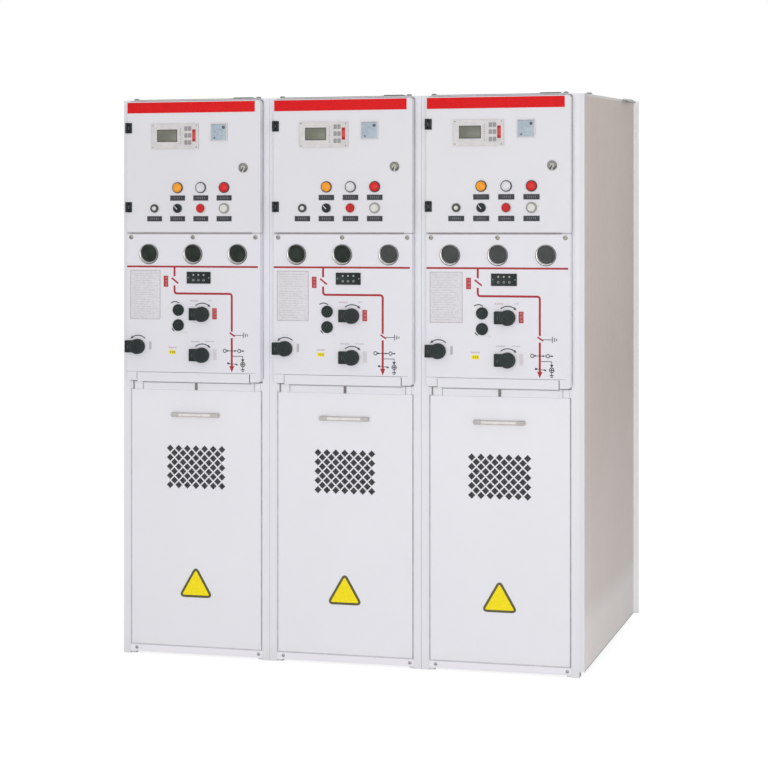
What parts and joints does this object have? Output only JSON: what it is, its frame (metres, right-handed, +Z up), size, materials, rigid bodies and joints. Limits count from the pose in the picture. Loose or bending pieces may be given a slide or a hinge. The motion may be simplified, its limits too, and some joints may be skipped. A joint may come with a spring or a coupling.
{
  "type": "solid insulated ring main unit",
  "caption": "Row of three sheet-steel switchgear cabinets with hinged instrument doors, turning switch paddles, windows and lift-off cable covers.",
  "frame": {"origin": "centre of the footprint, on the floor", "axes": "+X runs right along the front, +Y into the cabinets' depth, +Z up"},
  "size_m": [1.288, 0.9, 1.537],
  "materials": {
    "cabinet_paint": "satin",
    "inner_paint": "satin",
    "end_paint": "satin",
    "insulation": "matte",
    "chrome_trim": "polished",
    "dark_glass": "polished",
    "black_plastic": "matte",
    "zinc_steel": "satin",
    "instrument_plastic": "satin",
    "control_plastic": "gloss",
    "sign_red": "satin",
    "label_plastic": "satin",
    "plate_yellow": "satin",
    "edge_rubber": "matte"
  },
  "bodies": {
    "cabinet_row": {"front_posts": "cabinet_paint", "rear_posts": "cabinet_paint", "side_walls": "cabinet_paint", "roofs": "cabinet_paint", "rear_covers": "cabinet_paint", "frame_rails": "inner_paint", "compartment_walls": "inner_paint", "switch_modules": "insulation", "aprons": "cabinet_paint", "kick_strips": "cabinet_paint", "window_rings": "chrome_trim", "window_glasses": "dark_glass", "voltage_displays": "black_plastic", "round_knobs": "black_plastic", "hinge_leaves": "black_plastic", "roof_fittings": "zinc_steel", "end_cover": "end_paint", "operating_panel_left": "cabinet_paint", "operating_panel_middle": "cabinet_paint", "operating_panel_right": "cabinet_paint"},
    "instrument_door_left": {"instrument_door_left": "cabinet_paint", "instruments_left": "instrument_plastic", "controls_left": "control_plastic", "door_hinges_left": "black_plastic"},
    "cable_cover_left": {"cable_cover_left": "cabinet_paint", "cover_fittings_left": "zinc_steel"},
    "paddle_upper_left": {"paddle_upper_left": "black_plastic"},
    "paddle_lower_left": {"paddle_lower_left": "black_plastic"},
    "paddle_side_left": {"paddle_side_left": "black_plastic"},
    "instrument_door_middle": {"instrument_door_middle": "cabinet_paint", "instruments_middle": "instrument_plastic", "controls_middle": "control_plastic", "door_hinges_middle": "black_plastic"},
    "cable_cover_middle": {"cable_cover_middle": "cabinet_paint", "cover_fittings_middle": "zinc_steel"},
    "paddle_upper_middle": {"paddle_upper_middle": "black_plastic"},
    "paddle_lower_middle": {"paddle_lower_middle": "black_plastic"},
    "paddle_side_middle": {"paddle_side_middle": "black_plastic"},
    "instrument_door_right": {"instrument_door_right": "cabinet_paint", "instruments_right": "instrument_plastic", "controls_right": "control_plastic", "door_hinges_right": "black_plastic"},
    "cable_cover_right": {"cable_cover_right": "cabinet_paint", "cover_fittings_right": "zinc_steel"},
    "paddle_upper_right": {"paddle_upper_right": "black_plastic"},
    "paddle_lower_right": {"paddle_lower_right": "black_plastic"},
    "paddle_side_right": {"paddle_side_right": "black_plastic"}
  },
  "joints": [
    {"name": "instrument_door_left_hinge", "type": "hinge", "parent": "cabinet_row", "child": "instrument_door_left", "pos_m": [-0.624, -0.4395, 1.325], "axis": [0, 0, -1], "range_deg": [0, 95]},
    {"name": "instrument_door_middle_hinge", "type": "hinge", "parent": "cabinet_row", "child": "instrument_door_middle", "pos_m": [-0.204, -0.4395, 1.325], "axis": [0, 0, -1], "range_deg": [0, 95]},
    {"name": "instrument_door_right_hinge", "type": "hinge", "parent": "cabinet_row", "child": "instrument_door_right", "pos_m": [0.216, -0.4395, 1.325], "axis": [0, 0, -1], "range_deg": [0, 95]},
    {"name": "cable_cover_left_lift_off", "type": "slide", "parent": "cabinet_row", "child": "cable_cover_left", "axis": [0, -1, 0], "range_m": [0, 0.3]},
    {"name": "cable_cover_middle_lift_off", "type": "slide", "parent": "cabinet_row", "child": "cable_cover_middle", "axis": [0, -1, 0], "range_m": [0, 0.3]},
    {"name": "cable_cover_right_lift_off", "type": "slide", "parent": "cabinet_row", "child": "cable_cover_right", "axis": [0, -1, 0], "range_m": [0, 0.3]},
    {"name": "paddle_upper_left_turn", "type": "hinge", "parent": "cabinet_row", "child": "paddle_upper_left", "pos_m": [-0.4073, -0.425, 0.9285], "axis": [0, 1, 0], "range_deg": [0, 90]},
    {"name": "paddle_lower_left_turn", "type": "hinge", "parent": "cabinet_row", "child": "paddle_lower_left", "pos_m": [-0.4073, -0.425, 0.8185], "axis": [0, 1, 0], "range_deg": [0, 90]},
    {"name": "paddle_side_left_turn", "type": "hinge", "parent": "cabinet_row", "child": "paddle_side_left", "pos_m": [-0.5925, -0.425, 0.8395], "axis": [0, 1, 0], "range_deg": [0, 90]},
    {"name": "paddle_upper_middle_turn", "type": "hinge", "parent": "cabinet_row", "child": "paddle_upper_middle", "pos_m": [0.0127, -0.425, 0.9285], "axis": [0, 1, 0], "range_deg": [0, 90]},
    {"name": "paddle_lower_middle_turn", "type": "hinge", "parent": "cabinet_row", "child": "paddle_lower_middle", "pos_m": [0.0127, -0.425, 0.8185], "axis": [0, 1, 0], "range_deg": [0, 90]},
    {"name": "paddle_side_middle_turn", "type": "hinge", "parent": "cabinet_row", "child": "paddle_side_middle", "pos_m": [-0.1725, -0.425, 0.8395], "axis": [0, 1, 0], "range_deg": [0, 90]},
    {"name": "paddle_upper_right_turn", "type": "hinge", "parent": "cabinet_row", "child": "paddle_upper_right", "pos_m": [0.4327, -0.425, 0.9285], "axis": [0, 1, 0], "range_deg": [0, 90]},
    {"name": "paddle_lower_right_turn", "type": "hinge", "parent": "cabinet_row", "child": "paddle_lower_right", "pos_m": [0.4327, -0.425, 0.8185], "axis": [0, 1, 0], "range_deg": [0, 90]},
    {"name": "paddle_side_right_turn", "type": "hinge", "parent": "cabinet_row", "child": "paddle_side_right", "pos_m": [0.2475, -0.425, 0.8395], "axis": [0, 1, 0], "range_deg": [0, 90]}
  ]
}
